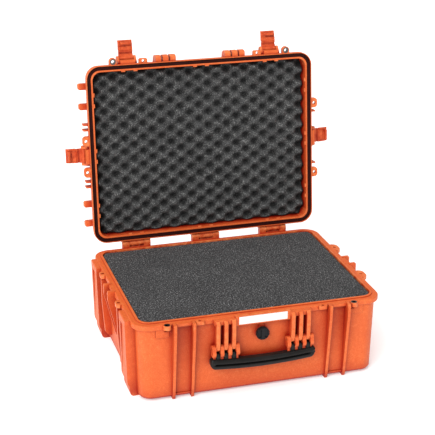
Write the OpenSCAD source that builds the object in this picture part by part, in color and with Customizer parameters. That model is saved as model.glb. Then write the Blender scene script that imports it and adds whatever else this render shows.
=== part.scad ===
// Hard equipment case: drafted base, hinged lid held open, four double-throw latches,
// fold-down handle, pressure valve, and foam in base and lid.
// Frame: +X to the case's right (seen from its front), +Y to the back, +Z up, origin under the
// middle of the base on the surface that it stands on. Millimetres.

/* [Case] */
// Half width of the base interior at the rim
cavity_x = 290; // [285:1:292]
// Half depth of the base interior at the rim
cavity_y = 220; // [215:1:222]
// Height of the base rim above the ground
rim_z = 203; // [190:1:215]
// Height of the lid above the rim
lid_h = 47; // [44:1:55]
// Angle that the lid stands open at, from closed
lid_open = 96; // [90:1:100]

/* [Walls] */
// Half width of the base flange
flange_x = 309; // [308:1:312]
// Half depth of the base flange
flange_y = 239; // [238:1:242]
// Height of the flange's outer face
flange_t = 13; // [12:1:15]
// Height of the sealing tongue above the flange
tongue_h = 3; // [3:0.5:3.5]
// Thickness of the base floor
floor_t = 6; // [5:1:8]
// Height of the underside above the ground
under_z = 4; // [3:0.5:5]

/* [Latches] */
// Distance of the front latches from the middle
latch_x = 192.5; // [190:0.5:194]
// Width of a latch
latch_w = 37; // [35:1:38]
// Angle that the latches are flipped out by, from closed
latch_open = 90; // [80:1:95]

/* [Handle] */
// Distance of each handle bracket from the middle
comb_x = 93; // [90:1:95]
// Distance between the handle bracket's ribs
comb_pitch = 19.4; // [19.2:0.1:20.4]
// Drop of the handle pivot below the rim
handle_drop = 77.5; // [74:0.5:80]

/* [Foam] */
// Thickness of the base's bottom foam layer
floor_foam_t = 20; // [15:1:30]
// Thickness of the base's middle foam layer
middle_foam_t = 84; // [60:1:100]

/* [Hidden] */
$fn = 48;

shell_orange = [0.93, 0.38, 0.16];
latch_orange = [0.85, 0.33, 0.13];
foam_grey = [0.28, 0.28, 0.28];
black = [0.12, 0.12, 0.12];
steel = [0.72, 0.72, 0.74];
eps = 0.01;

// Heights along the base, from the rim down
flange_top = rim_z - tongue_h;
flange_bottom = flange_top - flange_t;
floor_z = under_z + floor_t;
cavity_draft = 6;
cavity_r = 26;
flange_r = 40;

// Lid outline at its lower lip, and the sealing parts inside it
lid_x = flange_x - 6;
lid_y = flange_y - 6;
lid_r = 35;
lip_t = 2;
lid_lip_z = flange_top + 0.5;
gasket_w = 10;
gasket_h = 7;
inner_lip_t = 4;
lid_in_x = lid_x - lip_t - gasket_w - inner_lip_t;
lid_in_y = lid_y - lip_t - gasket_w - inner_lip_t;
lid_in_r = 22;
lid_top_z = rim_z + lid_h;
lid_roof_t = 5;

// Lid hinge, its three positions and its knuckles
hinge_y = flange_y + 3.5;
hinge_z = rim_z + 8;
hinge_places = [-190, 0, 190];
hinge_w = 75;
knuckle_r = 7.5;
end_knuckle_w = 18;
hinge_gap = 0.5;
pin_r = 2.5;
run_fit = 0.05;

// Fins that guard the latches, and how far they stand out of the flange
fin_t = 7;
fin_gap = latch_w + 2;
fin_out = 17;
fin_top = -1.5;
fin_places = (fin_gap + fin_t) / 2;

// Latch, seen in its own frame: wall face at y = 0, rim at z = 0, outward is -y
arm_pivot_y = -11;
arm_pivot_z = 26;
arm_hub_r = 6;
arm_w = 26;
hook_r = 37;
hook_t = 5;
arm_back_y = -11;
arm_t = 5;
lever_pivot_y = -13.5;
lever_pivot_z = 4;
lever_pin_r = 1.5;
lever_eye_r = 2.9;
groove_d = 3;
lever_t = 3.5;
lever_gap = 0.6;
ear_t = 6;
catch_y = -10;
catch_z = -10.2;

// Handle
handle_y = -(flange_y + 8);
handle_z = rim_z - handle_drop;
comb_rib_w = 9.4;
finger_w = 8.8;
finger_r = 9;
finger_len = 11;
grip_top = handle_z - 26.5;
grip_h = 28;
grip_t = 23;
grip_half = 135;
grip_bow = 7;

// Valve
valve_z = rim_z - 53;
valve_seat_y = -(flange_y - 1);
valve_bore_r = 8;
valve_nut_t = 5;

// Padlock eyelets, side lugs and small front tabs
eyelet_x = 232;
eyelet_y = -(flange_y + 2);
eyelet_bore_r = 6;
eyelet_hole_r = 4.5;
eyelet_rim_r = 7.6;
eyelet_rim_t = 1.2;
lug_t = 11;
tab_x = 153;
side_lug_y = 90;

// Pillars on the base's ends, and the matching ribs on the lid
pillar_in = 129;
pillar_out = 192;
pillar_x = flange_x + 13;
pillar_rib = 14;

// Filled outline with round corners
module plate(hx, hy, r) {
    square([2 * hx, 2 * (hy - r)], center = true);
    square([2 * (hx - r), 2 * hy], center = true);
    for (sx = [-1, 1], sy = [-1, 1])
        translate([sx * (hx - r), sy * (hy - r)]) circle(r);
}

// Thin slab of that outline at height z
module slab(hx, hy, r, z, t = 0.5) {
    translate([0, 0, z]) linear_extrude(t) plate(hx, hy, r);
}

// Ring whose section is the 2D child: its x is the distance out of the corner centre less r
module rim_ring(hx, hy, r) {
    for (i = [0:3])
        translate([(i == 0 || i == 3 ? 1 : -1) * (hx - r), (i < 2 ? 1 : -1) * (hy - r), 0])
            rotate([0, 0, 90 * i]) rotate_extrude(angle = 90) translate([r, 0]) children();
    for (s = [-1, 1]) {
        translate([s * (hx - r), 0, 0]) rotate([0, 0, s > 0 ? 0 : 180])
            translate([0, hy - r, 0]) rotate([90, 0, 0]) linear_extrude(2 * (hy - r))
                translate([r, 0]) children();
        translate([0, s * (hy - r), 0]) rotate([0, 0, s > 0 ? 90 : -90])
            translate([0, hx - r, 0]) rotate([90, 0, 0]) linear_extrude(2 * (hx - r))
                translate([r, 0]) children();
    }
}

// Bar section with round outer edges, from x0 to 0 and z0 to z1
module edge_section(w, z0, z1, round_r) {
    translate([-w, z0]) square([w - round_r, z1 - z0]);
    translate([-w, z0 + round_r]) square([w, z1 - z0 - 2 * round_r]);
    for (z = [z0 + round_r, z1 - round_r]) translate([-round_r, z]) circle(round_r);
}

// Inside of the base between two heights, smaller by the given clearance
function cavity_inset(z) = cavity_draft * (rim_z - z) / (rim_z - floor_z);
module cavity_block(z0, z1, gap) {
    hull() {
        slab(cavity_x - cavity_inset(z0) - gap, cavity_y - cavity_inset(z0) - gap, cavity_r, z0, eps);
        slab(cavity_x - cavity_inset(z1) - gap, cavity_y - cavity_inset(z1) - gap, cavity_r, z1 - eps, eps);
    }
}

// Puts a piece that is drawn with the lid closed where the open lid holds it
module on_open_lid() {
    translate([0, hinge_y, hinge_z]) rotate([-lid_open, 0, 0]) translate([0, -hinge_y, -hinge_z])
        children();
}

// Side = 0 front left, 1 front right, 2 left end, 3 right end: the latch's own frame
module latch_place(side) {
    turn = side < 2 ? 0 : (side == 2 ? -90 : 90);
    at = side < 2 ? [(side == 0 ? -1 : 1) * latch_x, -lid_y] : [(side == 2 ? -1 : 1) * lid_x, 0];
    translate([at[0], at[1], rim_z]) rotate([0, 0, turn]) children();
}

// Piece drawn in a YZ outline, w wide in X about x
module yz_plate(x, w) {
    translate([x - w / 2, 0, 0]) rotate([90, 0, 90]) linear_extrude(w) children();
}

// Fin beside a latch on the base: wide under the flange, narrow at its foot
module latch_fin(bottom_z, bottom_y) {
    for (s = [-1, 1])
        yz_plate(s * fin_places, fin_t)
            polygon([[14, flange_top - rim_z - 1], [-2, flange_top - rim_z - 1], [-4, fin_top],
                [-flange_out() - fin_out + 2, fin_top], [-flange_out() - fin_out, fin_top - 2],
                [-flange_out() - fin_out, -26], [bottom_y, bottom_z + 8],
                [bottom_y + 3, bottom_z], [14, bottom_z]]);
}
function flange_out() = flange_x - lid_x;

// Flange edge that a latch hooks under
module latch_catch() {
    translate([-fin_gap / 2 - 1, catch_y, catch_z]) cube([fin_gap + 2, 6, flange_top - rim_z - catch_z]);
}

module pillars() {
    pillar_w = pillar_out - pillar_in;
    for (t = [-1, 1])
        translate([0, t * (pillar_in + pillar_out) / 2, 0]) mirror([1, 0, 0]) difference() {
            translate([0, pillar_w / 2, 0]) rotate([90, 0, 0]) linear_extrude(pillar_w)
                polygon([[286, flange_top - 2], [pillar_x - 2, flange_top - 2],
                    [pillar_x, flange_top - 4], [pillar_x - 4, 38], [pillar_x - 5.5, 31],
                    [pillar_x - 9, 26], [pillar_x - 10, 12], [pillar_x - 12, 4],
                    [pillar_x - 17, 0], [276, 0]]);
            translate([pillar_x - 4, -(pillar_w / 2 - pillar_rib), 40])
                cube([10, pillar_w - 2 * pillar_rib, flange_bottom - 48]);
            translate([pillar_x - 24, 0, -1]) cylinder(r = 4, h = 9);
        }
}

// Rib down the left end wall, under a lug
module end_rib(y) {
    translate([0, y + 4.6, 0]) mirror([1, 0, 0]) rotate([90, 0, 0]) linear_extrude(9.2)
        polygon([[286, flange_top - 5], [flange_x + 9, flange_top - 5], [flange_x + 8, 120],
            [flange_x + 2, 40], [flange_x - 5, 30], [286, 26]]);
}

module eyelet_lug(z0, t) {
    for (s = [-1, 1]) translate([s * eyelet_x, 0, z0]) {
        translate([0, eyelet_y, 0]) cylinder(r = 9.5, h = t);
        translate([-9.5, eyelet_y, 0]) cube([19, 13, t]);
    }
}

module front_tabs(z0, t) {
    for (s = [-1, 1]) translate([s * tab_x, 0, z0]) {
        translate([-11, -flange_y - 2, 0]) cube([22, 10, t]);
        translate([-7, -flange_y - 6, 0]) cube([14, 12, t]);
        for (u = [-1, 1]) translate([u * 7, -flange_y - 2, 0]) cylinder(r = 4, h = t);
    }
}

module tab_holes(z0, t) {
    for (s = [-1, 1]) translate([s * tab_x, -flange_y + 0.2, z0 - 6]) cylinder(r = 3.6, h = t + 8);
}

// Half-round lug with a hole on an end wall, centred on y
module side_lug(s, y, z0, t, w, root_x, tip_x) {
    translate([s > 0 ? root_x : -tip_x + w / 3, y - w / 2, z0]) cube([tip_x - root_x - w / 3, w, t]);
    translate([s > 0 ? root_x : -tip_x, y - w / 6, z0]) cube([tip_x - root_x, w / 3, t]);
    for (u = [-1, 1]) translate([s * (tip_x - w / 3), y + u * w / 6, z0]) cylinder(r = w / 3, h = t);
}

// One arm and knuckle of a hinge, on the base (down) or on the lid (up)
module base_knuckle(x, w) {
    yz_plate(x, w) {
        translate([hinge_y, hinge_z]) circle(knuckle_r);
        polygon([[225, flange_bottom - 14], [240, flange_bottom - 14],
            [hinge_y + knuckle_r, flange_bottom + 6], [hinge_y + knuckle_r, hinge_z],
            [hinge_y - knuckle_r, hinge_z], [hinge_y - knuckle_r, flange_top - 4],
            [225, flange_top - 4]]);
    }
}

// Block under the lid's knuckle that its heel comes to rest on
module hinge_stop(x) {
    translate([x - hinge_w / 2 + 2, flange_y - 4, flange_bottom])
        cube([hinge_w - 4, 11.2, rim_z - 0.8 - flange_bottom]);
}

// Wide root that joins the lid's hinge arm to its wall, clear of the base's knuckles
module lid_hinge_root(x) {
    difference() {
        yz_plate(x, hinge_w) polygon([[lid_y - 6, lid_lip_z + 5], [lid_y + 0.8, lid_lip_z + 5],
            [lid_y + 0.8, hinge_z - 3], [lid_y + 4, hinge_z + 4], [hinge_y - 1.5, hinge_z + 7],
            [hinge_y - 1.5, hinge_z + 13], [lid_y - 6, hinge_z + 24]]);
        translate([x - hinge_w, hinge_y, hinge_z]) rotate([0, 90, 0])
            cylinder(r = knuckle_r + 1.3, h = 2 * hinge_w);
    }
}

module lid_knuckle(x, w) {
    yz_plate(x, w) {
        translate([hinge_y, hinge_z]) circle(knuckle_r);
        polygon([[lid_y - 6, lid_lip_z + 4], [hinge_y - 4, lid_lip_z + 4], [hinge_y, hinge_z - knuckle_r],
            [hinge_y + knuckle_r, hinge_z], [hinge_y + knuckle_r, hinge_z + 8],
            [hinge_y + 2, hinge_z + 20], [lid_y - 6, hinge_z + 24]]);
    }
}

module base_shell() {
    color(shell_orange) difference() {
        union() {
            hull() {
                slab(299, 233.5, 32, flange_bottom);
                slab(294.5, 232, 30, under_z + 7);
                slab(291.5, 229, 28, under_z + 2);
                slab(287, 224.5, 24, under_z);
            }
            slab(flange_x - 12, flange_y - 12, flange_r - 12, flange_bottom, flange_t);
            rim_ring(flange_x, flange_y, flange_r)
                edge_section(14, flange_bottom, flange_top, 2.5);
            rim_ring(cavity_x + 5.5, cavity_y + 5.5, cavity_r + 5.5)
                edge_section(8, flange_top - 2, rim_z, 1);
            for (side = [0, 1]) translate([(side == 0 ? -1 : 1) * latch_x, -lid_y, rim_z]) {
                latch_fin(-rim_z, -4);
                latch_catch();
            }
            for (side = [2, 3]) latch_place(side) {
                latch_fin(-rim_z + 60, 4);
                latch_catch();
            }
            pillars();
            eyelet_lug(flange_top - lug_t, lug_t);
            front_tabs(flange_top - 9, 9);
            for (t = [-1, 1]) {
                side_lug(1, t * side_lug_y, flange_top - 9, 9, 43, 296, flange_x + 15);
                side_lug(-1, t * side_lug_y, flange_top - 9, 9, 28, 296, flange_x + 12);
                end_rib(t * side_lug_y);
            }
            front_bracket_ribs();
            label_block();
            valve_boss();
            for (x = hinge_places, s = [-1, 1])
                base_knuckle(x + s * (hinge_w - end_knuckle_w) / 2, end_knuckle_w);
            for (x = hinge_places) hinge_stop(x);
            eyelet_pads();
            feet();
            back_ribs();
        }
        cavity_block(floor_z, rim_z + eps, 0);
        slab(cavity_x, cavity_y, cavity_r, rim_z - 1, 2);
        front_recesses();
        for (side = [0:3]) latch_pocket(side);
        tab_holes(flange_top - 9, 9);
        for (s = [-1, 1], t = [-1, 1])
            translate([s * (flange_x + 4), t * side_lug_y, flange_top - 12]) cylinder(r = 4, h = 16);
        for (s = [-1, 1]) translate([s * eyelet_x, eyelet_y, flange_top - 20]) {
            cylinder(r = eyelet_bore_r, h = 40);
            translate([0, 0, 0]) cylinder(r = eyelet_rim_r, h = 20 - lug_t + eyelet_rim_t);
            translate([0, 0, 20 - eyelet_rim_t]) cylinder(r = eyelet_rim_r, h = 10);
        }
        for (s = [-1, 1]) translate([s * comb_x - 40, handle_y, handle_z]) rotate([0, 90, 0])
            cylinder(r = pin_r, h = 80);
        for (x = hinge_places) translate([x - hinge_w, hinge_y, hinge_z]) rotate([0, 90, 0])
            cylinder(r = pin_r, h = 2 * hinge_w);
        translate([0, valve_seat_y - 1, valve_z]) rotate([-90, 0, 0]) cylinder(r = valve_bore_r, h = 40);
        translate([0, -cavity_y - valve_nut_t + 0.5, valve_z]) rotate([-90, 0, 0]) cylinder(r = 14.5, h = 10);
    }
}

// Raised pads on the front wall below the padlock eyelets
module eyelet_pads() {
    for (s = [-1, 1]) translate([s * 242 - 16, -236, flange_bottom - 21]) cube([32, 8, 22]);
}

// Three ribs at each end of the handle, joined to the flange by a short block
module front_bracket_ribs() {
    for (s = [-1, 1]) {
        translate([s * comb_x - 27, -flange_y - 11, flange_bottom - 1]) cube([54, 20, flange_t - 0.5]);
        for (i = [-1:1]) yz_plate(s * comb_x + i * comb_pitch, comb_rib_w) {
            polygon([[-226, flange_top - 3], [-flange_y - 12, flange_top - 3],
                [-flange_y - 17, flange_top - 9], [-flange_y - 17, handle_z + 14],
                [handle_y - 6.5, handle_z], [handle_y + 6.5, handle_z], [-226, handle_z + 4]]);
            translate([handle_y, handle_z]) circle(6.5);
        }
    }
}

module label_block() {
    translate([-68, -flange_y - 10, rim_z - 24]) cube([136, 10 + 4, 24 - tongue_h]);
    translate([-68, -flange_y - 10, rim_z - 24]) cube([136, 9, 23.5]);
}

module valve_boss() {
    translate([0, valve_seat_y, valve_z]) rotate([-90, 0, 0]) cylinder(r = 15.5, h = 14);
    translate([-5, valve_seat_y + 1, valve_z + 12]) cube([10, 8, flange_bottom - valve_z - 12]);
}

// Pads that the case stands on
module feet() {
    for (x = [-215, 215], y = [-160, 160]) translate([x, y, 0]) cylinder(r = 24, h = under_z + 1);
    cylinder(r = 30, h = under_z + 1);
}

// Ribs down the back wall below the hinges
module back_ribs() {
    for (x = [-252, -128, -62, 62, 128, 252]) yz_plate(x, 6)
        polygon([[225, flange_bottom + 2], [flange_y, flange_bottom + 2], [flange_y - 2, 14],
            [flange_y - 6, 2], [225, 2]]);
}

// Panels sunk into the front wall between the latch fins
module front_recesses() {
    for (s = [-1, 1]) translate([s * latch_x - fin_gap / 2, -260, under_z + 10])
        cube([fin_gap, 31, flange_bottom - under_z - 10]);
}

// Room behind the flange edge for a latch's hook
module latch_pocket(side) {
    latch_place(side) translate([-fin_gap / 2, -16, catch_z - 14]) cube([fin_gap, 13, 14]);
}

module lid_profile() {
    hull() {
        slab(lid_x, lid_y, lid_r, lid_lip_z);
        slab(lid_x, lid_y, lid_r, lid_lip_z + 12);
        slab(lid_x - 4, lid_y - 4, lid_r - 2, lid_top_z - 12);
        slab(lid_x - 8, lid_y - 8, lid_r - 4, lid_top_z - 6);
        slab(lid_x - 15, lid_y - 15, lid_r - 8, lid_top_z - 3.5);
    }
}

module lid_shell() {
    color(shell_orange) on_open_lid() difference() {
        union() {
            lid_profile();
            lid_top_panels();
            eyelet_lug(rim_z - 1, lug_t);
            front_tabs(rim_z + 1, 8);
            lid_front_fingers();
            lid_end_ribs();
            for (side = [0:3]) latch_place(side) latch_ears();
            for (x = hinge_places) {
                lid_knuckle(x, hinge_w - 2 * end_knuckle_w - 2 * hinge_gap);
                lid_hinge_root(x);
            }
        }
        hull() {
            slab(lid_in_x, lid_in_y, lid_in_r, lid_lip_z - 1);
            slab(lid_in_x - 4, lid_in_y - 4, lid_in_r - 3, lid_top_z - lid_roof_t - 4);
        }
        rim_ring(lid_x - lip_t, lid_y - lip_t, lid_r - lip_t)
            translate([-gasket_w, lid_lip_z - 1]) square([gasket_w, rim_z + gasket_h - lid_lip_z + 1]);
        rim_ring(lid_x - lip_t - gasket_w + 0.5, lid_y - lip_t - gasket_w + 0.5,
                lid_r - lip_t - gasket_w + 0.5)
            translate([-8, lid_lip_z - 1]) square([8, rim_z + 0.3 - lid_lip_z + 1]);
        tab_holes(rim_z + 1, 8);
        for (s = [-1, 1]) translate([s * eyelet_x, eyelet_y, rim_z - 2]) {
            cylinder(r = eyelet_bore_r, h = 30);
            cylinder(r = eyelet_rim_r, h = 1 + eyelet_rim_t);
            translate([0, 0, 1 + lug_t - eyelet_rim_t]) cylinder(r = eyelet_rim_r, h = 20);
        }
        for (side = [0:3]) latch_place(side) translate([-40, arm_pivot_y, arm_pivot_z])
            rotate([0, 90, 0]) cylinder(r = pin_r, h = 80);
        for (x = hinge_places) translate([x - hinge_w, hinge_y, hinge_z]) rotate([0, 90, 0])
            cylinder(r = pin_r + run_fit, h = 2 * hinge_w);
        lid_lug_holes();
    }
    color(shell_orange) on_open_lid() foam_nubs();
}

// Raised panels on the lid's top with a channel between them
module lid_top_panels() {
    for (sx = [-1, 1]) translate([sx * 142, 0, 0]) slab(134, 206, 16, lid_top_z - 5, 5);
    slab(40, 150, 10, lid_top_z - 5, 3.6);
}

// Three blunt fingers on the lid above each end of the handle
module lid_front_fingers() {
    for (s = [-1, 1], i = [-1:1]) yz_plate(s * comb_x + i * comb_pitch, 15)
        polygon([[-lid_y + 8, rim_z + 2], [-lid_y - 10, rim_z + 2], [-lid_y - 15, rim_z + 8],
            [-lid_y - 15, rim_z + 24], [-lid_y - 8, rim_z + 34], [-lid_y + 8, rim_z + 38]]);
}

// Two ears that hold a latch's pivot pin
module latch_ears() {
    translate([-latch_w / 2 - 1, -9.4, 2]) cube([latch_w + 2, 12, 15]);
    for (s = [-1, 1]) yz_plate(s * (latch_w / 2 + 0.7 + ear_t / 2), ear_t) {
        translate([arm_pivot_y, arm_pivot_z]) circle(7);
        polygon([[6, 10], [-4, 10], [arm_pivot_y - 7, arm_pivot_z - 4], [arm_pivot_y - 7, arm_pivot_z],
            [arm_pivot_y, arm_pivot_z + 7], [6, arm_pivot_z + 10]]);
    }
}

left_lug_y = 41;
right_lug_y = 95;
function lid_lugs() = [[-1, left_lug_y], [-1, -left_lug_y], [1, right_lug_y], [1, -right_lug_y]];

module lid_end_ribs() {
    for (y = [-178, -126, 132, 184])
        translate([-lid_x + 5, y, rim_z + 27]) {
            translate([-10, -8, 0]) cube([20, 16, 13]);
            translate([-22, -5, 0]) cube([22, 10, 13]);
            translate([-17, -8, 0]) cube([17, 16, 13]);
            for (u = [-1, 1]) translate([-17, u * 3, 0]) cylinder(r = 5, h = 13);
        }
    for (lug = lid_lugs()) side_lug(lug[0], lug[1], rim_z + 1, 8, 26, lid_x - 12, lid_x + 17);
    for (t = [-1, 1], y = [68, 82])
        translate([-lid_x - 12, t * y - 2, rim_z + 8]) cube([18, 4, 22]);
    for (t = [-1, 1]) translate([lid_x - 6, t * 71 - 2, rim_z + 8]) cube([20, 4, 22]);
}

module lid_lug_holes() {
    for (lug = lid_lugs()) translate([lug[0] * (lid_x + 8), lug[1], rim_z - 4]) cylinder(r = 4, h = 20);
}

// Small nubs on the inner lip that hold the lid's foam in
module foam_nubs() {
    for (x = [-190, 0, 190], u = [-16, 16], s = [-1, 1])
        translate([x + u - 5, s > 0 ? lid_in_y - 3.5 : -lid_in_y - 1, rim_z + 0.6]) cube([10, 4.5, 3]);
    for (y = [-145, 0, 145], u = [-14, 14], s = [-1, 1])
        translate([s > 0 ? lid_in_x - 3.5 : -lid_in_x - 1, y + u - 5, rim_z + 0.6]) cube([4.5, 10, 3]);
}

// Seal that the base's tongue presses into
module lid_gasket() {
    color(black) on_open_lid() rim_ring(lid_x - lip_t, lid_y - lip_t, lid_r - lip_t)
        translate([-gasket_w, rim_z + 0.1]) square([gasket_w, gasket_h - 0.1]);
}

// Space taken by the convoluted foam sheet in the lid
module lid_foam() {
    color(foam_grey) on_open_lid() hull() {
        slab(lid_in_x - 1.5, lid_in_y - 1.5, lid_in_r - 2, rim_z + 5, eps);
        slab(lid_in_x - 5, lid_in_y - 5, lid_in_r - 4, lid_top_z - lid_roof_t - 4.2, eps);
    }
}

module base_foam_floor() {
    color(foam_grey) cavity_block(floor_z + 0.2, floor_z + floor_foam_t, 0.5);
}

module base_foam_middle() {
    z0 = floor_z + floor_foam_t + 0.2;
    color(foam_grey) cavity_block(z0, z0 + middle_foam_t, 0.5);
}

module base_foam_top() {
    color(foam_grey) cavity_block(floor_z + floor_foam_t + middle_foam_t + 0.4, rim_z - 0.6, 0.5);
}

module hinge_pins() {
    color(steel) for (x = hinge_places) translate([x - hinge_w / 2 + 0.5, hinge_y, hinge_z])
        rotate([0, 90, 0]) cylinder(r = pin_r, h = hinge_w - 1);
}

// Steel sleeves with a rim at both ends, for a padlock's shackle
module eyelets(z0) {
    for (s = [-1, 1]) translate([s * eyelet_x, eyelet_y, z0]) difference() {
        union() {
            cylinder(r = eyelet_bore_r, h = lug_t);
            for (z = [0, lug_t - eyelet_rim_t]) translate([0, 0, z])
                cylinder(r = eyelet_rim_r, h = eyelet_rim_t);
        }
        translate([0, 0, -1]) cylinder(r = eyelet_hole_r, h = lug_t + 2);
    }
}

module base_padlock_eyelets() {
    color(steel) eyelets(flange_top - lug_t);
}

module lid_padlock_eyelets() {
    color(steel) on_open_lid() eyelets(rim_z - 1);
}

// Handle: fingers that hinge between the bracket ribs, and a core inside the grip
finger_places = [-1.5, -0.5, 0.5, 1.5];
module handle_core() {
    translate([-grip_half + 10, handle_y - 5, grip_top - 16]) cube([2 * (grip_half - 10), 8, 10]);
}

module handle_fingers() {
    for (s = [-1, 1]) {
        for (i = finger_places) yz_plate(s * comb_x + i * comb_pitch, finger_w) {
            translate([handle_y, handle_z]) circle(finger_r);
            polygon([[handle_y - 9, handle_z], [handle_y + 8, handle_z],
                [handle_y + 4, handle_z - finger_len - 7], [handle_y - 9, handle_z - finger_len - 7],
                [handle_y - 12, handle_z - finger_len]]);
        }
        translate([s * comb_x - 33, handle_y - 6, handle_z - finger_len - 7])
            cube([66, 10, finger_len - 4.5]);
    }
}

module handle_frame() {
    color(shell_orange) difference() {
        union() {
            handle_fingers();
            handle_core();
            for (s = [-1, 1]) translate([s * comb_x - 31, handle_y - 5, grip_top - 12]) cube([62, 8, 22]);
        }
        for (s = [-1, 1]) translate([s * comb_x - 50, handle_y, handle_z]) rotate([0, 90, 0])
            cylinder(r = pin_r + run_fit, h = 100);
    }
}

// Soft grip moulded round the core, bowed down in its middle
module handle_grip() {
    color(black) difference() {
        translate([0, handle_y - 2 + grip_t / 2, 0]) rotate([90, 0, 0]) linear_extrude(grip_t)
            polygon(concat(
                [for (i = [-6:6]) [grip_half * i / 6 * (abs(i) == 6 ? 0.97 : 1),
                    grip_top - grip_bow * (1 - pow(i / 6, 2)) + 3]],
                [for (i = [6:-1:-6]) [grip_half * i / 6 * (abs(i) == 6 ? 0.93 : 1),
                    grip_top - grip_h + 4 - grip_bow * (1 - pow(i / 6, 2)) + (abs(i) == 6 ? 8 : 0)]]));
        handle_core();
        for (s = [-1, 1]) translate([s * comb_x - 31, handle_y - 5, grip_top - 12]) cube([62, 8, 30]);
        handle_fingers();
    }
}

module handle_pins() {
    color(steel) for (s = [-1, 1]) translate([s * comb_x - 33, handle_y, handle_z]) rotate([0, 90, 0])
        cylinder(r = pin_r, h = 66);
}

// Screwed valve: body through the front wall, nut inside, seal behind its flange, turning knob
module valve_body() {
    color(black) translate([0, valve_seat_y, valve_z]) rotate([90, 0, 0]) difference() {
        union() {
            cylinder(r = 14, h = 3);
            cylinder(r = 6, h = 9);
            translate([0, 0, -19.5]) cylinder(r = valve_bore_r, h = 20);
        }
        translate([0, 0, -25]) cylinder(r = 2.5, h = 40);
        rotate_extrude() translate([11, 0]) circle(1.5);
    }
}

module valve_o_ring() {
    color(black) translate([0, valve_seat_y, valve_z]) rotate([90, 0, 0]) rotate_extrude()
        intersection() {
            translate([11, 0]) circle(1.4);
            translate([0, 0]) square([20, 5]);
        }
}

module valve_knob() {
    color(black) translate([0, valve_seat_y - 3.3, valve_z]) rotate([90, 0, 0]) difference() {
        union() {
            cylinder(r = 16.5, h = 7);
            cylinder(r = 14.5, h = 9);
        }
        translate([0, 0, -1]) cylinder(r = 6 + run_fit, h = 7);
        for (a = [0:30:330]) rotate([0, 0, a]) translate([17.4, 0, -1]) cylinder(r = 1.8, h = 12);
        for (s = [-1, 1]) translate([s * 8.5 - 4.5, -10, 6.5]) cube([9, 20, 5]);
    }
}

module valve_nut() {
    color(black) translate([0, -cavity_y - valve_nut_t + 0.7, valve_z]) rotate([-90, 0, 0]) difference() {
        cylinder(r = 13, h = valve_nut_t - 0.6, $fn = 6);
        translate([0, 0, -1]) cylinder(r = valve_bore_r, h = 10);
    }
}

module label_plate() {
    color([0.95, 0.95, 0.93]) translate([-60, -flange_y - 11, rim_z - 21]) cube([120, 1, 19]);
}

// Latch pieces, drawn closed in the latch's own frame
module arm_shape() {
    difference() {
        union() {
            yz_plate(0, latch_w) {
                translate([arm_pivot_y, arm_pivot_z]) circle(arm_hub_r);
                polygon([[arm_back_y, 5.5], [lever_pivot_y, 5.5], [lever_pivot_y, 8],
                    [arm_back_y - arm_t - 0.6, 8], [arm_pivot_y - arm_hub_r, 16],
                    [arm_pivot_y - arm_hub_r, arm_pivot_z], [arm_pivot_y + 2, arm_pivot_z],
                    [arm_back_y, 14]]);
            }
            yz_plate(0, arm_w) {
                polygon([[arm_back_y, 9], [arm_back_y - arm_t, 9], [arm_back_y - arm_t, -13],
                    [arm_back_y - arm_t + 2, -16], [arm_back_y, -16]]);
                translate([lever_pivot_y, lever_pivot_z]) circle(3.4);
                intersection() {
                    translate([arm_pivot_y, arm_pivot_z]) difference() {
                        circle(hook_r + hook_t, $fn = 96);
                        circle(hook_r, $fn = 96);
                    }
                    translate([arm_back_y - 2, -20]) square([7.5, 20]);
                }
            }
        }
        translate([-30, arm_pivot_y, arm_pivot_z]) rotate([0, 90, 0]) cylinder(r = pin_r + run_fit, h = 60);
        translate([-30, lever_pivot_y, lever_pivot_z]) rotate([0, 90, 0]) cylinder(r = lever_pin_r, h = 60);
        for (s = [-1, 1]) translate([s * (arm_w / 2 + 0.4 + 10) - 10, lever_pivot_y, lever_pivot_z])
            rotate([0, 90, 0]) cylinder(r = lever_eye_r + 0.35, h = 20);
        translate([-30, arm_back_y - groove_d, 9.5]) cube([60, 10, 5]);
        translate([-30, arm_back_y - groove_d, -10]) cube([60, 10, 5.5]);
    }
}

module lever_shape() {
    plate_y = arm_back_y - arm_t - lever_gap - 0.4;
    difference() {
        union() {
            yz_plate(0, latch_w) polygon([[plate_y, 2.6], [plate_y - 1.3, 4.4],
                [plate_y - lever_t + 1, 5], [plate_y - lever_t, 3], [plate_y - lever_t, -14],
                [plate_y - lever_t - 2.5, -19], [plate_y - lever_t - 1, -20],
                [plate_y - 1, -19.3], [plate_y, -16]]);
            for (s = [-1, 1]) yz_plate(s * (latch_w / 2 - 2.5), 5) {
                translate([lever_pivot_y, lever_pivot_z]) circle(lever_eye_r);
                polygon([[lever_pivot_y + 2.4, lever_pivot_z], [plate_y - 1, lever_pivot_z],
                    [plate_y - 1, -15], [plate_y, -15], [arm_back_y - 0.8, -8], [arm_back_y - 0.8, 2]]);
            }
            for (z = [-12, -7, -2]) translate([-latch_w / 2 + 4, plate_y - lever_t - 0.8, z])
                cube([latch_w - 8, 1.6, 2]);
        }
        translate([-30, lever_pivot_y, lever_pivot_z]) rotate([0, 90, 0])
            cylinder(r = lever_pin_r + run_fit, h = 60);
        translate([-30, arm_back_y - groove_d, -10]) cube([60, 10, 5.5]);
    }
}

module lever_pin_shape() {
    translate([-latch_w / 2 + 0.3, lever_pivot_y, lever_pivot_z]) rotate([0, 90, 0])
        cylinder(r = lever_pin_r, h = latch_w - 0.6);
}

// Flips a latch piece out about its pivot, on the open lid
module on_open_latch(side) {
    on_open_lid() latch_place(side) translate([0, arm_pivot_y, arm_pivot_z]) rotate([-latch_open, 0, 0])
        translate([0, -arm_pivot_y, -arm_pivot_z]) children();
}

module latch_pivot_pins() {
    pin_len = latch_w + 2 * (ear_t + 0.7) - 0.6;
    color(steel) on_open_lid() for (side = [0:3]) latch_place(side)
        translate([-pin_len / 2, arm_pivot_y, arm_pivot_z]) rotate([0, 90, 0])
            cylinder(r = pin_r, h = pin_len);
}

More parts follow.
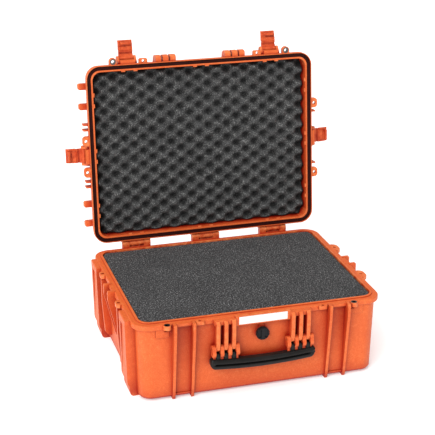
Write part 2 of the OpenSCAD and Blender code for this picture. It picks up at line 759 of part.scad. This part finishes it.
module latch_arm(side) {
    color(latch_orange) on_open_latch(side) arm_shape();
}

module latch_lever(side) {
    color(latch_orange * 0.92) on_open_latch(side) lever_shape();
}

module latch_lever_pin(side) {
    color(steel) on_open_latch(side) lever_pin_shape();
}

base_shell();
lid_shell();
lid_gasket();
lid_foam();
base_foam_top();
base_foam_middle();
base_foam_floor();
hinge_pins();
base_padlock_eyelets();
lid_padlock_eyelets();
handle_frame();
handle_grip();
handle_pins();
valve_body();
valve_knob();
valve_o_ring();
valve_nut();
label_plate();
latch_pivot_pins();
latch_arm(0);  // latch_front_left_arm
latch_lever(0);  // latch_front_left_lever
latch_lever_pin(0);  // latch_front_left_lever_pin
latch_arm(1);  // latch_front_right_arm
latch_lever(1);  // latch_front_right_lever
latch_lever_pin(1);  // latch_front_right_lever_pin
latch_arm(2);  // latch_left_arm
latch_lever(2);  // latch_left_lever
latch_lever_pin(2);  // latch_left_lever_pin
latch_arm(3);  // latch_right_arm
latch_lever(3);  // latch_right_lever
latch_lever_pin(3);  // latch_right_lever_pin
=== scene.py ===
"""Hard equipment case, open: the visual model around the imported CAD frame."""
import math
import bpy
import bmesh
from mathutils import Matrix, Vector, noise


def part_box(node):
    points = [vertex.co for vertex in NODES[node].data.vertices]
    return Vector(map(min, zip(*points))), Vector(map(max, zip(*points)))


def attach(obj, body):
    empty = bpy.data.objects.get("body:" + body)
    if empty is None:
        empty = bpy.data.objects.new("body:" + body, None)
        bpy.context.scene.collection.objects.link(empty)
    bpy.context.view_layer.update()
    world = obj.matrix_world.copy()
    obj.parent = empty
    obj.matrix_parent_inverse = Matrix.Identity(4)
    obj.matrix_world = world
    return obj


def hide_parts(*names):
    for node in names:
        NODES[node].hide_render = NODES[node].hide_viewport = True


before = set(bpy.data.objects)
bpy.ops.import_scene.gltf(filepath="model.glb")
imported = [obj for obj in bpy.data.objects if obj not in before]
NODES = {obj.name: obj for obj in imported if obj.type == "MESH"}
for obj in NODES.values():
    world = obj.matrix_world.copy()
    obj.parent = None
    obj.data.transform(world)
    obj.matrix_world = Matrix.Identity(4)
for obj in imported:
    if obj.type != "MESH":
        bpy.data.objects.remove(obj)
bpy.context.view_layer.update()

MM = 0.001

# Places that the CAD has too, in millimetres, with the lid closed
RIM_Z = 203.0
HINGE_Y, HINGE_Z = 242.5, 211.0
LID_OPEN_DEGREES = 96.0
LIP_HALF_X, LIP_HALF_Y, LIP_RADIUS = 303.0, 233.0, 35.0
LIP_THICKNESS = 2.0

# Handle: the middle of each bracket, the step between its ribs, and the grip's teeth between the fingers
COMB_X = 93.0
COMB_PITCH = 19.4
TOOTH_SIZE = (10.4, 17.0)
TOOTH_LOW_Z, TOOTH_HIGH_Z = 88.0, 114.7
TOOTH_BACK_SET = 2.0

# Camera: angles in radians, place in metres
CAMERA_YAW, CAMERA_PITCH, CAMERA_ROLL = 0.2945005, 0.3710024, 0.0059053
CAMERA_PLACE = (-0.90558, -2.85676, 1.51724)
CAMERA_LENS, CAMERA_SENSOR = 107.27, 36.0


def lid_matrix():
    """Takes closed-lid millimetres to the open lid's place in the shared frame, in metres."""
    hinge = Matrix.Translation(Vector((0, HINGE_Y, HINGE_Z)))
    turn = Matrix.Rotation(math.radians(-LID_OPEN_DEGREES), 4, "X")
    return Matrix.Scale(MM, 4) @ hinge @ turn @ hinge.inverted()


# ---------------------------------------------------------------- camera, lights and floor

def add_camera():
    forward = Vector((math.sin(CAMERA_YAW) * math.cos(CAMERA_PITCH),
                      math.cos(CAMERA_YAW) * math.cos(CAMERA_PITCH),
                      -math.sin(CAMERA_PITCH)))
    level_right = Vector((math.cos(CAMERA_YAW), -math.sin(CAMERA_YAW), 0.0))
    level_up = level_right.cross(forward)
    right = level_right * math.cos(CAMERA_ROLL) + level_up * math.sin(CAMERA_ROLL)
    up = level_up * math.cos(CAMERA_ROLL) - level_right * math.sin(CAMERA_ROLL)
    data = bpy.data.cameras.new("camera")
    data.sensor_width = CAMERA_SENSOR
    data.lens = CAMERA_LENS
    data.clip_end = 50.0
    camera = bpy.data.objects.new("camera", data)
    bpy.context.scene.collection.objects.link(camera)
    basis = Matrix((right, up, -forward)).transposed().to_4x4()
    camera.matrix_world = Matrix.Translation(Vector(CAMERA_PLACE)) @ basis
    bpy.context.scene.camera = camera


def add_soft_light(name, comes_from, strength, spread):
    """Wide, distant light, so that the floor stays evenly white. spread is its angle in radians."""
    data = bpy.data.lights.new(name, "SUN")
    data.energy = strength
    data.angle = spread
    light = bpy.data.objects.new(name, data)
    bpy.context.scene.collection.objects.link(light)
    light.matrix_world = (-Vector(comes_from)).to_track_quat("-Z", "Y").to_matrix().to_4x4()


def add_world(strength):
    world = bpy.data.worlds.new("studio")
    bpy.context.scene.world = world
    world.use_nodes = True
    background = world.node_tree.nodes["Background"]
    background.inputs["Color"].default_value = (1.0, 1.0, 1.0, 1.0)
    background.inputs["Strength"].default_value = strength


# ---------------------------------------------------------------- materials

class Shader:
    """A node tree with a Principled shader and short ways to build on it."""

    def __init__(self, name, **sockets):
        self.material = bpy.data.materials.new(name)
        self.material.use_nodes = True
        self.tree = self.material.node_tree
        self.bsdf = self.tree.nodes["Principled BSDF"]
        for socket, value in sockets.items():
            self.bsdf.inputs[socket.replace("_", " ")].default_value = value
        self.place = self.add("ShaderNodeTexCoord").outputs["Object"]

    def add(self, kind, **values):
        node = self.tree.nodes.new(kind)
        for name, value in values.items():
            if hasattr(node, name):
                setattr(node, name, value)
            else:
                node.inputs[name.replace("_", " ")].default_value = value
        return node

    def link(self, source, target):
        self.tree.links.new(source, target)

    def noise(self, scale, detail=3.0, roughness=0.5, place=None):
        node = self.add("ShaderNodeTexNoise", Scale=scale, Detail=detail, Roughness=roughness)
        self.link(place or self.place, node.inputs["Vector"])
        return node.outputs["Fac"]

    def cells(self, scale):
        node = self.add("ShaderNodeTexVoronoi", feature="F1", Scale=scale, Randomness=1.0)
        self.link(self.place, node.inputs["Vector"])
        return node.outputs["Distance"]

    def span(self, value, low, high, to_low=0.0, to_high=1.0):
        node = self.add("ShaderNodeMapRange", From_Min=low, From_Max=high, To_Min=to_low, To_Max=to_high)
        self.link(value, node.inputs["Value"])
        return node.outputs["Result"]

    def math(self, operation, a, b):
        node = self.add("ShaderNodeMath", operation=operation)
        for socket, value in zip(node.inputs, (a, b)):
            if isinstance(value, (int, float)):
                socket.default_value = value
            else:
                self.link(value, socket)
        return node.outputs[0]

    def mix(self, factor, a, b):
        node = self.add("ShaderNodeMix", data_type="RGBA")
        self.link(factor, node.inputs[0])
        for socket, value in ((node.inputs[6], a), (node.inputs[7], b)):
            if isinstance(value, tuple):
                socket.default_value = value + (1.0,)
            else:
                self.link(value, socket)
        return node.outputs[2]

    def colour(self, value):
        self.link(value, self.bsdf.inputs["Base Color"])

    def rough(self, value):
        self.link(value, self.bsdf.inputs["Roughness"])

    def bump(self, height, strength, distance, normal=None):
        node = self.add("ShaderNodeBump", Strength=strength, Distance=distance)
        self.link(height, node.inputs["Height"])
        if normal is not None:
            self.link(normal, node.inputs["Normal"])
        self.link(node.outputs["Normal"], self.bsdf.inputs["Normal"])

    def open_sky(self, samples, distance):
        node = self.add("ShaderNodeAmbientOcclusion", samples=samples, Distance=distance)
        return node.outputs["AO"]

    def round_edges(self, radius):
        node = self.add("ShaderNodeBevel", samples=4, Radius=radius)
        return node.outputs["Normal"]


PLASTIC_ROUGHNESS = 0.45
# Colour of the painted shade in the plastic's corners, recesses and gaps between parts
DEEP_SHADE = (0.34, 0.004, 0.001)


def moulded_plastic(name, colour, pale, deep, edge_radius=0.0012):
    """Satin moulded plastic: pebbled texture, flow clouding, painted shade in corners and recesses,
    painted paler highlights along convex edges.
    """
    s = Shader(name, Metallic=0.0, Specular_IOR_Level=0.3)
    cloud = s.noise(11.0, 4.0, 0.6)
    body = s.mix(s.span(cloud, 0.30, 0.60, 0.35, 1.0), deep, colour)
    mottle = s.noise(95.0, 4.0, 0.7)
    body = s.mix(s.span(mottle, 0.36, 0.62, 0.5, 0.0), body, deep)
    body = s.mix(s.span(mottle, 0.54, 0.7, 0.0, 0.3), body, pale)
    pebble = s.noise(330.0, 3.0, 0.65)
    body = s.mix(s.span(pebble, 0.36, 0.66, 0.0, 0.55), body, deep)
    fine = s.noise(760.0, 2.0, 0.6)
    body = s.mix(s.span(fine, 0.5, 0.72, 0.0, 0.55), body, pale)
    # Painted shade: the colour turns towards DEEP_SHADE where ambient occlusion finds corners, recesses
    # and gaps between parts
    body = s.mix(s.span(s.open_sky(8, 0.06), 0.28, 0.88, 0.96, 0.0), body, DEEP_SHADE)
    # Painted highlight: convex edges are made paler in patches, standing in for light catching them
    curve = s.add("ShaderNodeNewGeometry").outputs["Pointiness"]
    edge_highlight = s.math("MULTIPLY", s.span(curve, 0.52, 0.62), s.span(s.noise(60.0, 4.0, 0.7), 0.4, 0.7))
    s.colour(s.mix(edge_highlight, body, pale))
    smear = s.noise(35.0, 5.0, 0.65)
    s.rough(s.span(smear, 0.3, 0.75, PLASTIC_ROUGHNESS - 0.05, PLASTIC_ROUGHNESS + 0.1))
    grain = s.math("ADD", s.math("MULTIPLY", pebble, 1.5), s.cells(1100.0))
    s.bump(grain, 0.35, 0.0005, s.round_edges(edge_radius))
    return s.material


FOAM_PORE_DEPTH = 0.0022


def foam(name, light, dark, glint_tone, cell=240.0, valley_shade=0.0):
    """Open-cell foam: dark pores, painted pale glints standing in for light caught by cell walls, and,
    if asked, painted shade in the hollows between bumps.
    """
    s = Shader(name, Roughness=0.95, Specular_IOR_Level=0.1, Sheen_Weight=0.06, Sheen_Roughness=0.6)
    pores = s.cells(cell)
    small = s.cells(cell * 2.3)
    grain = s.noise(cell * 0.9, 4.0, 0.8)
    tone = s.mix(s.span(grain, 0.36, 0.62), dark, light)
    tone = s.mix(s.span(pores, 0.1, 0.42, 0.6, 0.0), tone, dark)
    # Painted highlight: pale specks in the glint colour where cell walls would catch the light
    glint = s.span(s.noise(cell * 1.5, 1.0, 0.5), 0.54, 0.72)
    sparkle = s.math("MULTIPLY", glint, s.span(small, 0.12, 0.42))
    tone = s.mix(sparkle, tone, glint_tone)
    broad = s.span(s.noise(14.0, 3.0, 0.6), 0.3, 0.72, 0.0, 0.3)
    tone = s.mix(broad, tone, dark)
    # Painted shade: near-black mixed in where ambient occlusion finds the hollows between the bumps
    if valley_shade:
        tone = s.mix(s.span(s.open_sky(8, 0.04), 0.40, 0.78, valley_shade, 0.0), tone, (0.004, 0.004, 0.004))
    s.colour(tone)
    s.rough(s.span(grain, 0.3, 0.7, 0.88, 1.0))
    s.bump(s.math("ADD", pores, s.math("MULTIPLY", grain, 1.3)), 0.6, FOAM_PORE_DEPTH)
    return s.material


def rubber(name, colour, pale, roughness, edge_radius=0.0, specular=0.4):
    """Moulded rubber with a soft bloom and a fine matt grain."""
    s = Shader(name, Specular_IOR_Level=specular, Sheen_Weight=0.02)
    bloom = s.noise(45.0, 5.0, 0.65)
    # Painted shade: near-black mixed in where ambient occlusion finds corners
    corner = s.open_sky(6, 0.012)
    tone = s.mix(s.span(bloom, 0.35, 0.75), colour, pale)
    s.colour(s.mix(s.span(corner, 0.3, 0.8, 0.9, 0.0), tone, (0.001, 0.0008, 0.0008)))
    s.rough(s.span(s.noise(120.0, 3.0, 0.6), 0.3, 0.7, roughness - 0.07, roughness + 0.09))
    edges = s.round_edges(edge_radius) if edge_radius else None
    s.bump(s.noise(2600.0, 2.0, 0.6), 0.18, 0.0003, edges)
    return s.material


def satin_steel(name):
    """Turned stainless steel: fine drawn lines and painted shade in its corners."""
    s = Shader(name, Metallic=1.0, Specular_IOR_Level=0.5)
    stretch = s.add("ShaderNodeMapping")
    stretch.inputs["Scale"].default_value = (1.0, 1.0, 14.0)
    s.link(s.place, stretch.inputs["Vector"])
    lines = s.noise(420.0, 3.0, 0.6, stretch.outputs["Vector"])
    # Painted shade: near-black mixed in where ambient occlusion finds corners
    corner = s.open_sky(6, 0.01)
    metal = s.mix(s.span(lines, 0.3, 0.7), (0.10, 0.095, 0.09), (0.20, 0.19, 0.185))
    s.colour(s.mix(s.span(corner, 0.25, 0.8, 0.9, 0.0), metal, (0.012, 0.011, 0.010)))
    s.rough(s.span(s.noise(80.0, 4.0, 0.6), 0.3, 0.7, 0.24, 0.4))
    s.bump(lines, 0.12, 0.0002, s.round_edges(0.0004))
    return s.material


def label_stock(name):
    """Blank white label plate: even film with a very light print-mottle and softened edges."""
    s = Shader(name, Specular_IOR_Level=0.5)
    mottle = s.noise(260.0, 3.0, 0.6)
    s.colour(s.mix(s.span(mottle, 0.3, 0.7), (0.80, 0.80, 0.79), (0.88, 0.88, 0.87)))
    s.rough(s.span(s.noise(40.0, 3.0, 0.6), 0.3, 0.7, 0.3, 0.42))
    s.bump(mottle, 0.08, 0.0002, s.round_edges(0.0005))
    return s.material


def make_materials():
    return {
        "case": moulded_plastic("case_orange",
                                (0.80, 0.150, 0.030), (0.90, 0.27, 0.085), (0.66, 0.088, 0.014)),
        "latch": moulded_plastic("latch_orange",
                                 (0.62, 0.070, 0.012), (0.78, 0.14, 0.035), (0.52, 0.045, 0.008),
                                 edge_radius=0.0007),
        "handle": moulded_plastic("handle_orange",
                                  (0.72, 0.100, 0.018), (0.86, 0.19, 0.05), (0.60, 0.068, 0.011),
                                  edge_radius=0.0007),
        "base_foam": foam("base_foam_grey",
                          (0.060, 0.058, 0.058), (0.006, 0.006, 0.007), (0.32, 0.315, 0.315),
                          cell=215.0),
        "lid_foam": foam("lid_foam_grey",
                         (0.105, 0.105, 0.104), (0.024, 0.024, 0.025), (0.30, 0.30, 0.29),
                         valley_shade=0.95),
        # The red tint in both gasket colours is a painted reflection of the orange case around it; the
        # rubber itself is black
        "gasket": rubber("gasket_black",
                         (0.020, 0.0016, 0.0010), (0.034, 0.003, 0.002), 0.6, specular=0.12),
        "ring": rubber("seal_ring_black", (0.012, 0.012, 0.012), (0.022, 0.022, 0.022), 0.45),
        "grip": rubber("grip_black",
                       (0.0065, 0.006, 0.0055), (0.013, 0.012, 0.011), 0.42, specular=0.2),
        "valve": rubber("valve_black",
                        (0.006, 0.0055, 0.007), (0.014, 0.012, 0.015), 0.45, 0.0006, specular=0.2),
        "steel": satin_steel("satin_steel"),
        "label": label_stock("label_white"),
        "floor": floor_material("studio_floor"),
    }


def floor_material(name):
    s = Shader(name, Specular_IOR_Level=0.1, Emission_Strength=0.3)
    s.colour(s.mix(s.span(s.noise(3.0, 4.0, 0.5), 0.3, 0.7), (0.93, 0.93, 0.93), (0.95, 0.95, 0.95)))
    s.rough(s.span(s.noise(8.0, 3.0, 0.5), 0.3, 0.7, 0.75, 0.85))
    return s.material


# ---------------------------------------------------------------- mesh helpers

def new_object(name, bm, material):
    """Turns a bmesh into a smooth-shaded object with one material."""
    bmesh.ops.recalc_face_normals(bm, faces=bm.faces)
    mesh = bpy.data.meshes.new(name)
    bm.to_mesh(mesh)
    bm.free()
    mesh.polygons.foreach_set("use_smooth", [True] * len(mesh.polygons))
    mesh.materials.append(material)
    obj = bpy.data.objects.new(name, mesh)
    bpy.context.scene.collection.objects.link(obj)
    return obj


def round_corner(x, y, half_x, half_y, radius):
    """Moves a point of the square grid so that the outline's corners are round."""
    in_x, in_y = abs(x) - (half_x - radius), abs(y) - (half_y - radius)
    if in_x <= 0 or in_y <= 0:
        return x, y
    keep = max(in_x, in_y) / math.hypot(in_x, in_y)
    return (math.copysign(half_x - radius + in_x * keep, x),
            math.copysign(half_y - radius + in_y * keep, y))


def closed_slab(half_x, half_y, radius, step, top, side_rows, outline):
    """bmesh of a closed slab, in millimetres.

    top(x, y) is the height of its upper face. side_rows are (share of the way down, outward move) pairs
    down its sides. outline(x, y, height) moves a side point outwards along its normal.
    """
    bm = bmesh.new()
    count_x, count_y = round(2 * half_x / step), round(2 * half_y / step)

    def grid(height):
        rows = []
        for j in range(count_y + 1):
            row = []
            for i in range(count_x + 1):
                x, y = round_corner(-half_x + 2 * half_x * i / count_x,
                                    -half_y + 2 * half_y * j / count_y, half_x, half_y, radius)
                row.append(bm.verts.new((x, y, height(x, y))))
            rows.append(row)
        return rows

    def fill(rows):
        for j in range(count_y):
            for i in range(count_x):
                bm.faces.new((rows[j][i], rows[j][i + 1], rows[j + 1][i + 1], rows[j + 1][i]))

    def border(rows):
        loop = list(rows[0][:-1])
        loop += [rows[j][-1] for j in range(count_y)]
        loop += list(reversed(rows[-1][1:]))
        loop += [rows[j][0] for j in range(count_y, 0, -1)]
        return loop

    upper, lower = grid(top), grid(lambda x, y: 0.0)
    fill(upper)
    fill(lower)
    ring = border(upper)
    low_ring = border(lower)
    count = len(ring)
    normals = []
    for k in range(count):
        before, after = ring[k - 1].co, ring[(k + 1) % count].co
        along = after - before
        normals.append(Vector((along.y, -along.x, 0)).normalized())
    previous = ring
    for share, move in side_rows:
        made = []
        for k in range(count):
            height = ring[k].co.z * (1 - share)
            push = move + outline(ring[k].co.x, ring[k].co.y, height)
            made.append(bm.verts.new((ring[k].co.x + normals[k].x * push,
                                      ring[k].co.y + normals[k].y * push, height)))
        for k in range(count):
            bm.faces.new((previous[k], previous[(k + 1) % count], made[(k + 1) % count], made[k]))
        previous = made
    for k in range(count):
        bm.faces.new((previous[k], previous[(k + 1) % count], low_ring[(k + 1) % count], low_ring[k]))
    return bm


def wobble(x, y, scale, amount, seed):
    """Smooth unevenness of up to the given amount; scale is its waves per millimetre."""
    return amount * noise.noise(Vector((x * scale, y * scale, seed)))


# ---------------------------------------------------------------- soft pieces

def base_foam_layer(node, name, step, materials):
    """One flat foam layer: softened top edge, slightly uneven top, sides pressed by the cavity."""
    low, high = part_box(node)
    half_x, half_y = (high.x - low.x) / 2 / MM, (high.y - low.y) / 2 / MM
    thick = (high.z - low.z) / MM
    inset, corner = 2.2, 24.0
    edge_width, edge_drop, sink = 14, 2.4, 0.5
    flat_x, flat_y = half_x - inset - edge_width, half_y - inset - edge_width

    def top(x, y):
        edge = max(abs(x) - flat_x, abs(y) - flat_y, 0) / edge_width
        level = thick - sink - edge_drop * edge ** 3
        return level - wobble(x, y, 0.02, 0.45, 3.0) - wobble(x, y, 0.11, 0.25, 9.0)

    rows = [(0.02, 1.3), (0.06, 2.0), (0.2, 1.9), (0.5, 1.6), (0.8, 1.5), (0.95, 1.0)]
    bm = closed_slab(half_x - inset, half_y - inset, corner, step, top, rows,
                     lambda x, y, z: wobble(x + y, z, 0.03, 0.15, 5.0))
    for vert in bm.verts:
        vert.co = Vector((vert.co.x * MM, vert.co.y * MM, low.z + vert.co.z * MM))
    piece = new_object(name, bm, materials["base_foam"])
    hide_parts(node)
    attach(piece, "base")


def lid_foam_sheet(materials):
    """Convoluted foam: staggered rounded bumps, cut straight at its edges, glued to the lid's roof."""
    half_x, half_y, corner, step = 281.7, 212.3, 16.0, 3.0
    shift_x, shift_y = -1.0, -1.0
    pitch_x, pitch_y, depth = 50.5, 36.6, 23.0
    tip_z, back_z = 208.6, 240.4
    start_x, start_y = -3.1, 0.3
    thick = back_z - tip_z

    def top(x, y):
        wander_x = wobble(x, y, 0.012, 2.2, 1.0)
        wander_y = wobble(x, y, 0.012, 2.0, 7.0)
        wave = -math.cos(2 * math.pi * (x + wander_x - start_x) / pitch_x) * \
            math.cos(2 * math.pi * (y + wander_y - start_y) / pitch_y)
        lift = (0.5 + 0.5 * wave) ** 0.9
        level = thick - depth * (1 - lift) - 0.6
        return level + wobble(x, y, 0.022, 1.1, 4.0) + wobble(x, y, 0.2, 0.35, 8.0)

    rows = [(0.04, 0.25), (0.15, 0.3), (0.4, 0.1), (0.75, -0.2), (0.97, -0.6)]
    bm = closed_slab(half_x, half_y, corner, step, top, rows,
                     lambda x, y, z: wobble(x + y, z, 0.03, 0.5, 2.0))
    to_lid = lid_matrix()
    for vert in bm.verts:
        vert.co = to_lid @ Vector((vert.co.x + shift_x, vert.co.y + shift_y, back_z - vert.co.z))
    piece = new_object("lid_convoluted_foam", bm, materials["lid_foam"])
    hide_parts("lid_foam")
    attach(piece, "lid")


def rounded_path(half_x, half_y, radius):
    """Points round a rectangle with round corners, each with its outward direction."""
    corner_steps, side_steps = 10, 12
    points = []
    for quarter, (sx, sy) in enumerate(((1, 1), (-1, 1), (-1, -1), (1, -1))):
        centre = Vector((sx * (half_x - radius), sy * (half_y - radius)))
        for k in range(corner_steps + 1):
            angle = math.pi / 2 * (quarter + k / corner_steps)
            out = Vector((math.cos(angle), math.sin(angle)))
            points.append((centre + out * radius, out))
    full = []
    for k, (point, out) in enumerate(points):
        full.append((point, out))
        if (k + 1) % (corner_steps + 1) == 0:
            following = points[(k + 1) % len(points)][0]
            for step in range(1, side_steps):
                full.append((point.lerp(following, step / side_steps), out))
    return full


def join_rings(bm, rings):
    """Faces between each ring of points and the next."""
    size = len(rings[0])
    for a, b in zip(rings, rings[1:]):
        for k in range(size):
            bm.faces.new((a[k], a[(k + 1) % size], b[(k + 1) % size], b[k]))


def sweep(path, section):
    """bmesh of a closed ring. section is [(outward, height), ...] and path is from rounded_path."""
    bm = bmesh.new()
    rings = [[bm.verts.new((p.x + out.x * o, p.y + out.y * o, z)) for o, z in section]
             for p, out in path]
    join_rings(bm, rings + rings[:1])
    return bm


def lid_gasket_ring(materials):
    """Seal in the lid's channel: a crowned strip with a shallow track pressed in by the base's rim."""
    width, low_z, high_z = 10.0, RIM_Z + 0.2, RIM_Z + 6.9
    half = width / 2 - 0.15
    crown = [(-half, high_z), (-half, low_z + 1.6), (-half + 0.4, low_z + 0.7),
             (-half + 1.4, low_z + 0.1), (-2.4, low_z), (-1.5, low_z + 0.5), (0.0, low_z + 0.8),
             (1.5, low_z + 0.5), (2.4, low_z), (half - 1.4, low_z + 0.1),
             (half - 0.4, low_z + 0.7), (half, low_z + 1.6), (half, high_z)]
    middle = LIP_THICKNESS + width / 2
    bm = sweep(rounded_path(LIP_HALF_X - middle, LIP_HALF_Y - middle, LIP_RADIUS - middle), crown)
    to_lid = lid_matrix()
    for vert in bm.verts:
        vert.co = to_lid @ vert.co
    piece = new_object("lid_gasket_seal", bm, materials["gasket"])
    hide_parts("lid_gasket")
    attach(piece, "lid")


def grip_section(half_w, half_h, slot):
    """Grip outline across its length, as (outward, up) points, with a slot this deep in its face."""
    count, gap_degrees = 36, 12
    ring = []
    for k in range(count):
        angle = math.radians(gap_degrees + (360 - 2 * gap_degrees) * k / (count - 1))
        c, sn = math.cos(angle), math.sin(angle)
        ring.append((math.copysign(abs(c) ** 0.55, c) * half_w,
                     math.copysign(abs(sn) ** 0.62, sn) * half_h))
    ring[0], ring[-1] = (half_w, 5.2), (half_w, -4.6)
    face = [(half_w, -2.9), (half_w - 0.6, -2.4), (half_w - slot, -2.0), (half_w - slot, 2.6),
            (half_w - 0.6, 3.0), (half_w, 3.5)]
    return ring + face


def add_tooth(bm, x, y):
    """Raised part of the grip between two of the handle's fingers, round the bar that joins them."""
    made = bmesh.ops.create_cube(bm, size=1.0)["verts"]
    middle_z, height = (TOOTH_LOW_Z + TOOTH_HIGH_Z) / 2, TOOTH_HIGH_Z - TOOTH_LOW_Z
    for vert in made:
        vert.co = ((x + vert.co.x * TOOTH_SIZE[0]) * MM,
                   (y + TOOTH_BACK_SET + vert.co.y * TOOTH_SIZE[1]) * MM,
                   (middle_z + vert.co.z * height) * MM)
    top = [edge for edge in bm.edges
           if all(vert in made and vert.co.z > middle_z * MM for vert in edge.verts)]
    bmesh.ops.bevel(bm, geom=top, offset=1.2 * MM, segments=3, affect="EDGES", profile=0.5)


def put_in_order(bm):
    """Sorts points and faces by place, because the bevel leaves them in an order that varies by run."""
    weights = Vector((1.0, 0.61803, 0.36788))
    bm.verts.sort(key=lambda vert: vert.co.dot(weights))
    bm.faces.sort(key=lambda face: face.calc_center_median().dot(weights))
    bm.verts.index_update()
    bm.faces.index_update()


def handle_grip(materials):
    """Soft grip: rounded section bowed down in its middle, a slot along its face, and its teeth."""
    low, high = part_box("handle_grip")
    half = high.x / MM - 0.4
    middle_y = (low.y + high.y) / 2 / MM
    middle_z, bow, end_lift = 81.5, 7.0, 3.5
    half_w, half_h, slot_depth = 11.2, 13.2, 6.0
    stations = 60
    bm = bmesh.new()
    rings = []
    for station in range(stations + 1):
        even = -1 + 2 * station / stations
        t = math.sin(even * math.pi / 2) * 0.35 + even * 0.65
        end = max(0.0, (abs(t) - 0.93) / 0.07)
        shrink = math.sqrt(max(0.0, 1 - end ** 2)) * 0.55 + 0.45 if end else 1.0
        centre_z = middle_z + bow * t * t + end_lift * end
        fade = 1 - min(1.0, max(0.0, (abs(t) - 0.90) / 0.03))
        section = grip_section(half_w * (shrink * 0.6 + 0.4), half_h * shrink, 0.7 + slot_depth * fade)
        rings.append([bm.verts.new((half * t * MM, (middle_y - out) * MM, (centre_z + up) * MM))
                      for out, up in section])
    join_rings(bm, rings)
    for ring in (rings[0], rings[-1]):
        bm.faces.new(ring)
    for side in (-1, 1):
        for place in (-1, 0, 1):
            add_tooth(bm, side * COMB_X + place * COMB_PITCH, middle_y)
    put_in_order(bm)
    piece = new_object("handle_soft_grip", bm, materials["grip"])
    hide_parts("handle_grip")
    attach(piece, "handle")


def add_floor(materials):
    """Wide white floor, a hair below the case's pads."""
    bm = bmesh.new()
    bmesh.ops.create_circle(bm, cap_ends=True, segments=64, radius=14.0)
    for vert in bm.verts:
        vert.co.z = -0.0004
    new_object("studio_floor", bm, materials["floor"])


# ---------------------------------------------------------------- scene

def finish_nodes(materials):
    """Gives every CAD node that shows its material."""
    kinds = {"base_shell": "case", "lid_shell": "case", "handle_frame": "handle", "label_plate": "label",
             "valve_body": "valve", "valve_knob": "valve", "valve_nut": "valve", "valve_o_ring": "ring",
             "handle_grip": "grip", "lid_gasket": "gasket", "lid_foam": "lid_foam",
             "base_foam_top": "base_foam", "base_foam_middle": "base_foam",
             "base_foam_floor": "base_foam"}
    for name, node in NODES.items():
        if name.startswith("latch_") and name.endswith(("_arm", "_lever")):
            kind = "latch"
        else:
            kind = kinds.get(name, "steel")
        node.data.materials.clear()
        node.data.materials.append(materials[kind])


add_camera()
bpy.context.scene.view_settings.view_transform = "Standard"
add_world(0.45)
add_soft_light("key", (-0.58, -0.62, 0.66), 2.3, 0.75)
add_soft_light("top", (-0.15, 0.05, 1.0), 0.9, 0.9)

MATERIALS = make_materials()
finish_nodes(MATERIALS)
base_foam_layer("base_foam_top", "base_foam_top_layer", 6.0, MATERIALS)
base_foam_layer("base_foam_middle", "base_foam_middle_layer", 14.0, MATERIALS)
base_foam_layer("base_foam_floor", "base_foam_floor_layer", 14.0, MATERIALS)
lid_foam_sheet(MATERIALS)
lid_gasket_ring(MATERIALS)
handle_grip(MATERIALS)
add_floor(MATERIALS)
